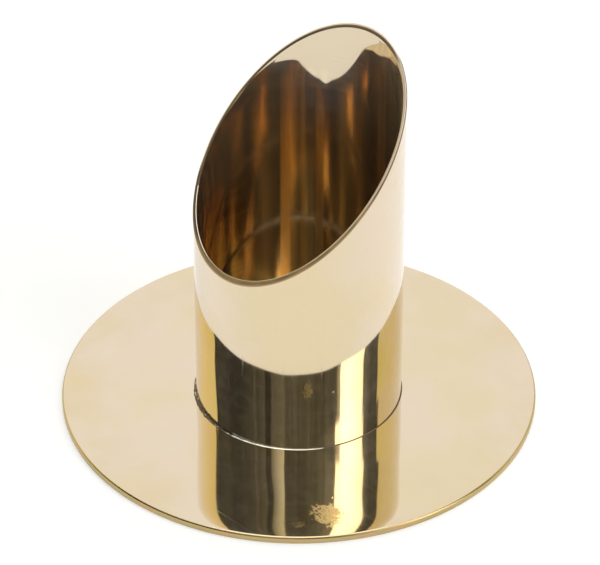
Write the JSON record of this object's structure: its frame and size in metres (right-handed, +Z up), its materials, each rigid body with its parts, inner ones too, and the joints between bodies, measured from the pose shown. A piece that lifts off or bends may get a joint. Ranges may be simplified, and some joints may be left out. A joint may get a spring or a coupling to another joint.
{
  "type": "candle holder",
  "caption": "Polished brass candle holder: an upright thin-walled tube with an obliquely cut top, soldered to a flat round plate, takes the foot of a pillar candle.",
  "frame": {"origin": "middle of the plate's underside, where the holder stands", "axes": "+Z up along the tube; -Y towards the low side of the cut, +Y towards its high side; +X to the right as seen from the low side"},
  "size_m": [0.12, 0.12, 0.0967],
  "materials": {
    "brass": "polished",
    "solder": "dull"
  },
  "bodies": {
    "root": {"base_plate": "brass", "socket_tube": "brass", "outer_solder_fillet": "solder", "inner_solder_fillet": "solder"}
  },
  "joints": []
}
